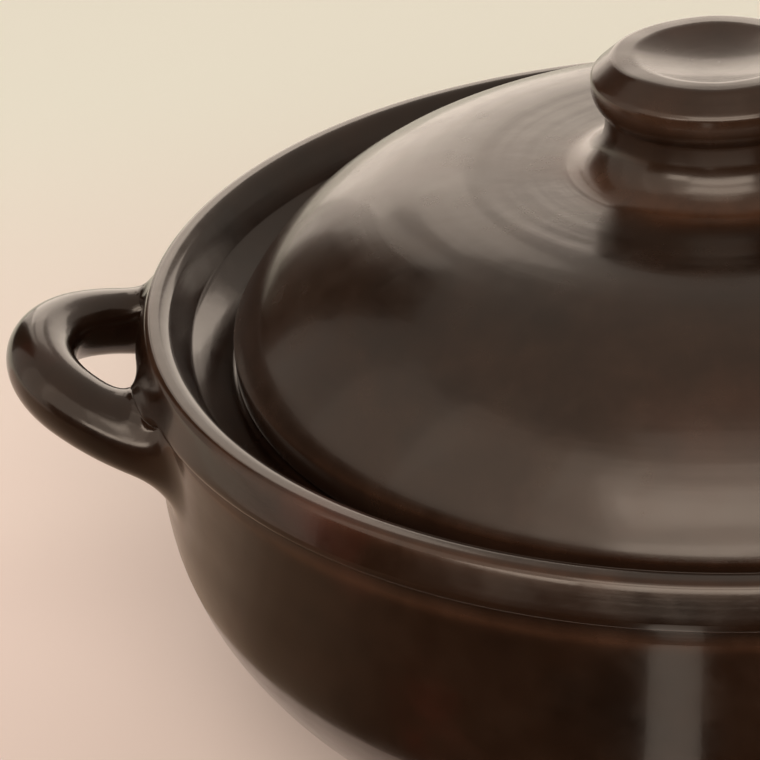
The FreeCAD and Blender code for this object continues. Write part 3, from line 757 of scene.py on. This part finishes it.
def glaze_relief(tree, coordinates, shift):
    """Normal: faint turning rings, ripples and fine grain, each a bump on top of the one before."""
    link = tree.links.new
    parts = node(tree, "ShaderNodeSeparateXYZ", (-1600, -350))
    link(coordinates.outputs["Object"], parts.inputs["Vector"])
    flat = node(tree, "ShaderNodeCombineXYZ", (-1440, -350))
    link(parts.outputs["X"], flat.inputs["X"])
    link(parts.outputs["Y"], flat.inputs["Y"])
    across = node(tree, "ShaderNodeVectorMath", (-1280, -350), operation="LENGTH")
    link(flat.outputs[0], across.inputs[0])
    section = node(tree, "ShaderNodeCombineXYZ", (-1100, -350))
    link(across.outputs["Value"], section.inputs["X"])
    link(parts.outputs["Z"], section.inputs["Z"])
    rings = noise(tree, (-920, -350), section.outputs[0], 240.0, 3.0, 0.5)
    ripples = noise(tree, (-920, -560), shift.outputs[0], 130.0, 2.0, 0.4)
    grain = noise(tree, (-920, -770), shift.outputs[0], 1500.0, 2.0, 0.5)
    ring_bump = node(tree, "ShaderNodeBump", (-660, -350), strength=0.10, distance=0.0006)
    link(rings.outputs["Fac"], ring_bump.inputs["Height"])
    ripple_bump = node(tree, "ShaderNodeBump", (-440, -450), strength=0.05, distance=0.0010)
    link(ripples.outputs["Fac"], ripple_bump.inputs["Height"])
    link(ring_bump.outputs["Normal"], ripple_bump.inputs["Normal"])
    grain_bump = node(tree, "ShaderNodeBump", (-220, -550), strength=0.06, distance=0.00010)
    link(grain.outputs["Fac"], grain_bump.inputs["Height"])
    link(ripple_bump.outputs["Normal"], grain_bump.inputs["Normal"])
    link(grain_bump.outputs["Normal"], tree.nodes["Principled BSDF"].inputs["Normal"])


def glaze_material(name, body, gloss_range, seed):
    """Glossy dark brown glaze, with a seed that moves its noise."""
    material, tree, shader = new_material(name)
    coordinates = node(tree, "ShaderNodeTexCoord", (-1800, 0))
    shift = node(tree, "ShaderNodeVectorMath", (-1600, 0), operation="ADD")
    shift.inputs[1].default_value = (seed, seed * 0.37, 0.0)
    tree.links.new(coordinates.outputs["Object"], shift.inputs[0])
    mottle = noise(tree, (-1300, 60), shift.outputs[0], 95.0, 6.0, 0.6)
    clay = node(tree, "ShaderNodeAttribute", (-540, 620), attribute_name="bare")
    glaze_colour(tree, shift, mottle, clay, body)
    glaze_gloss(tree, mottle, clay, gloss_range)
    glaze_relief(tree, coordinates, shift)
    shader.inputs["Specular Tint"].default_value = GLAZE_TINT
    shader.inputs["Coat Weight"].default_value = GLAZE_COAT
    shader.inputs["Coat Roughness"].default_value = gloss_range[0] * 0.5
    return material


def place_camera():
    """Camera at the photograph's viewing angle, with no shift."""
    elevation = math.radians(CAMERA_ELEVATION)
    azimuth = Matrix.Rotation(-math.radians(CAMERA_AZIMUTH), 3, "Z")
    back = Vector((0.0, -math.cos(elevation), math.sin(elevation)))
    forward = -back
    right = Vector((1.0, 0.0, 0.0))
    aim = Matrix.Rotation(math.radians(CAMERA_AIM), 3, "Z")
    forward = aim @ forward
    right = aim @ right
    pitch = Matrix.Rotation(math.radians(CAMERA_PITCH), 3, right)
    forward = pitch @ forward
    roll = Matrix.Rotation(math.radians(CAMERA_ROLL), 3, forward)
    right = roll @ right
    up = right.cross(forward)
    position = back * CAMERA_DISTANCE * MM + Vector((0.0, 0.0, CAMERA_HEIGHT * MM))
    turn = Matrix((right, up, -forward)).transposed()
    camera_data = bpy.data.cameras.new("camera")
    camera_data.lens = CAMERA_LENS
    camera_data.sensor_width = CAMERA_SENSOR
    camera_data.clip_start = 0.01
    camera = add_object("camera", camera_data)
    camera.matrix_world = Matrix.Translation(azimuth @ position) @ (azimuth @ turn).to_4x4()
    bpy.context.scene.camera = camera


def rectangle(half_width, half_height):
    """Corners and the one face of a flat rectangle round the origin."""
    corners = [(-half_width, -half_height, 0.0), (half_width, -half_height, 0.0),
               (half_width, half_height, 0.0), (-half_width, half_height, 0.0)]
    return corners, [(0, 1, 2, 3)]


def make_floor():
    """Floor of pale paper, paler towards the back, darker and rosier in front with painted shade of the
    pot's shadow.
    """
    corners, faces = rectangle(FLOOR_HALF, FLOOR_HALF)
    mesh = bpy.data.meshes.new("floor")
    mesh.from_pydata(corners, [], faces)
    floor = add_object("floor", mesh)
    material, tree, shader = new_material("floor_paper")
    place = node(tree, "ShaderNodeTexCoord", (-900, 0))
    parts = node(tree, "ShaderNodeSeparateXYZ", (-700, 0))
    tree.links.new(place.outputs["Object"], parts.inputs["Vector"])
    near = FLOOR_SHADE_COLOURS[0][0]
    far = FLOOR_SHADE_COLOURS[-1][0]
    behind = node(tree, "ShaderNodeMapRange", (-500, 0))
    behind.inputs["From Min"].default_value = near
    behind.inputs["From Max"].default_value = far
    tree.links.new(parts.outputs["Y"], behind.inputs["Value"])
    # Painted shade: the paper darkens and turns rosier towards the front, where the pot's shadow falls.
    steps = [((where - near) / (far - near), colour) for where, colour in FLOOR_SHADE_COLOURS]
    paper = colour_steps(tree, (-300, 0), steps)
    tree.links.new(behind.outputs["Result"], paper.inputs["Fac"])
    tree.links.new(paper.outputs["Color"], shader.inputs["Base Color"])
    shader.inputs["Roughness"].default_value = 0.9
    floor.data.materials.append(material)


def sky_place(azimuth, elevation, distance):
    """Point in the direction of an azimuth and an elevation from the middle of the pot."""
    turn = math.radians(azimuth)
    lift = math.radians(elevation)
    level = math.cos(lift)
    return Vector((math.cos(turn) * level, math.sin(turn) * level, math.sin(lift))) * distance


def panel_span(angle):
    """Length at the panels' distance that is seen under an angle in degrees."""
    return 2.0 * PANEL_DISTANCE * math.tan(math.radians(angle / 2.0))


def face_pot(made, azimuth, elevation):
    """Put a panel or a screen in its direction, turned to the pot."""
    where = sky_place(azimuth, elevation, PANEL_DISTANCE)
    made.location = where
    made.rotation_euler = where.to_track_quat("Z", "Y").to_euler()


def light_panel(name, place, colour):
    """A soft panel of light that faces the pot."""
    azimuth, elevation, width, height, radiance = place
    lamp = bpy.data.lights.new(name, "AREA")
    lamp.shape = "RECTANGLE"
    lamp.size = panel_span(width) * math.cos(math.radians(elevation))
    lamp.size_y = panel_span(height)
    lamp.color = colour
    lamp.energy = radiance * math.pi * lamp.size * lamp.size_y
    face_pot(add_object(name, lamp), azimuth, elevation)


def dark_screen(name, place):
    """A dark screen that stands behind the pot, seen only in its reflections."""
    azimuth, elevation, width, height = place
    corners, faces = rectangle(panel_span(width) / 2.0, panel_span(height) / 2.0)
    screen = new_object(name, np.array(corners) / MM, faces)
    face_pot(screen, azimuth, elevation)
    screen.visible_camera = False
    screen.visible_shadow = False
    material, _, shader = new_material(name)
    shader.inputs["Base Color"].default_value = SCREEN_COLOUR
    shader.inputs["Roughness"].default_value = 1.0
    screen.data.materials.append(material)


def floor_sector(name, place, low, high):
    """Ring sector from a near low edge to a far high one, seen only in the glaze."""
    first, last, inner, outer = place
    count = SECTOR_STEPS + 1
    turns = np.radians(np.linspace(first, last, count))
    rings = [np.column_stack([np.cos(turns) * far, np.sin(turns) * far, np.full(count, height)])
             for far, height in ((inner, low), (outer, high))]
    faces = [(k, count + k, count + k + 1, k + 1) for k in range(SECTOR_STEPS)]
    sector = new_object(name, np.concatenate(rings), faces)
    share = np.tile(np.linspace(0.0, 1.0, count), 2)
    sector.data.attributes.new("round", "FLOAT", "POINT").data.foreach_set("value", share)
    sector.visible_camera = False
    sector.visible_shadow = False
    sector.visible_diffuse = False
    material, tree, shader = new_material(name)
    sector.data.materials.append(material)
    return tree, shader


def make_shade_card():
    """Painted shade before the pot, a dark card and wall, with one glowing strip of painted reflection,
    all seen only in the glaze.
    """
    tree, card = floor_sector("painted_shade_card", SHADE_CARD, CARD_LIFT, CARD_LIFT)
    # Painted shade: the card is dark in the middle of its turn and fades to light at both ends.
    place = node(tree, "ShaderNodeAttribute", (-600, 0), attribute_name="round")
    fade = colour_steps(tree, (-300, 0), CARD_FADE)
    tree.links.new(place.outputs["Fac"], fade.inputs["Fac"])
    tree.links.new(fade.outputs["Color"], card.inputs["Base Color"])
    _, wall = floor_sector("painted_shade_wall", SHADE_WALL, CARD_LIFT, WALL_HEIGHT)
    wall.inputs["Base Color"].default_value = (*CARD_SHADE, 1.0)
    for shader in (card, wall):
        shader.inputs["Roughness"].default_value = 1.0
        shader.inputs["Specular IOR Level"].default_value = 0.0
    # The strip glows, though it is no lamp: a painted reflection of the window, drawn down the bowl.
    _, strip = floor_sector("painted_reflection_strip", REFLECTION_STRIP, STRIP_LIFT, STRIP_LIFT)
    strip.inputs["Base Color"].default_value = (0.0, 0.0, 0.0, 1.0)
    strip.inputs["Emission Color"].default_value = (*WARM_WHITE, 1.0)
    strip.inputs["Emission Strength"].default_value = STRIP_GLOW


def make_lights():
    """Windows at the front left, a bright opening behind, a dark screen beside it and room light."""
    bpy.context.scene.view_settings.view_transform = "Standard"
    world = bpy.data.worlds.new("studio")
    bpy.context.scene.world = world
    world.use_nodes = True
    background = world.node_tree.nodes["Background"]
    background.inputs["Color"].default_value = (*WARM_WHITE, 1.0)
    background.inputs["Strength"].default_value = ROOM_LIGHT
    light_panel("window_frame", WINDOW_FRAME, WARM_WHITE)
    light_panel("window_low", WINDOW_LOW, WARM_WHITE)
    light_panel("window_high", WINDOW_HIGH, WARM_WHITE)
    light_panel("window_glow", WINDOW_GLOW, WARM_WHITE)
    light_panel("window_sill", WINDOW_SILL, WARM_WHITE)
    light_panel("near_wall", NEAR_WALL, WARM_WALL)
    light_panel("far_wall", FAR_WALL, WARM_WALL)
    light_panel("left_wall", LEFT_WALL, WARM_WALL)
    light_panel("backlight", BACKLIGHT, WARM_WHITE)
    light_panel("backlight_top", BACKLIGHT_TOP, WARM_WHITE)
    light_panel("backlight_side", BACKLIGHT_SIDE, WARM_WHITE)
    dark_screen("dark_screen", DARK_SCREEN)
    # Painted shade and a painted reflection before the pot, seen only in the glaze.
    make_shade_card()


def main():
    """Dress the frame."""
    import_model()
    place_camera()
    make_floor()
    make_lights()
    pot_columns = column_angles(GRIP_AZIMUTHS, GRIP_SPREAD, COLUMN_FINE, COLUMN_WIDE)
    pot = turned_mesh("pot_glazed", pot_profile(), pot_columns, pot_wobble)
    join(pot, grip_object("right_grip", 1.0))
    join(pot, grip_object("left_grip", -1.0))
    blend_roots(pot)
    lid_columns = np.radians(np.arange(0.0, 360.0, LID_COLUMN))
    lid = turned_mesh("lid_glazed", lid_profile(), lid_columns, lid_wobble)
    mark_thin_glaze(pot, POT_THIN)
    mark_thin_glaze(lid, LID_THIN)
    pot.data.materials.append(glaze_material("pot_glaze", POT_GLAZE, POT_GLOSS, POT_SEED))
    lid.data.materials.append(glaze_material("lid_glaze", LID_GLAZE, LID_GLOSS, LID_SEED))
    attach(pot, "root")
    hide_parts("pot")
    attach(lid, "root")
    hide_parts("lid")


main()
